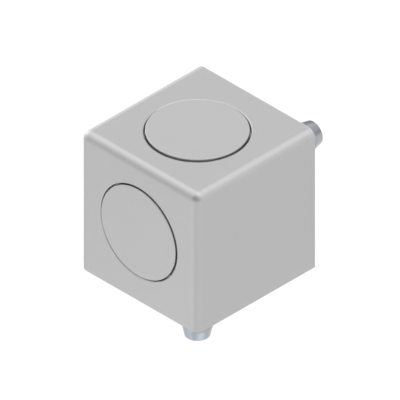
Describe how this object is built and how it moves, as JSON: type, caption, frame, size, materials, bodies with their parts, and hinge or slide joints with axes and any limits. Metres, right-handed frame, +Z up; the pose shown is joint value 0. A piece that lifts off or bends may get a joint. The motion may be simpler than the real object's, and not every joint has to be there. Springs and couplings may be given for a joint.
{
  "type": "cube corner connector",
  "caption": "Die-cast cube that joins square slotted profile ends at a right angle, with a thread-forming screw out of each joint face and a round cover cap opposite each screw.",
  "frame": {"origin": "centre of the bottom face, the one that a profile end butts against", "axes": "+Z up, away from the lower screw's free end, +X out of the other joint face along the side screw, +Y across both screws"},
  "size_m": [0.0598, 0.04, 0.0599],
  "materials": {
    "cast_body": "die-cast, blasted matt",
    "cover_cap": "moulded, fine matt",
    "zinc_screw": "bright zinc plating"
  },
  "bodies": {
    "root": {"cube_body": "cast_body", "top_cap": "cover_cap", "side_cap": "cover_cap", "lower_screw": "zinc_screw", "side_screw": "zinc_screw"}
  },
  "joints": []
}
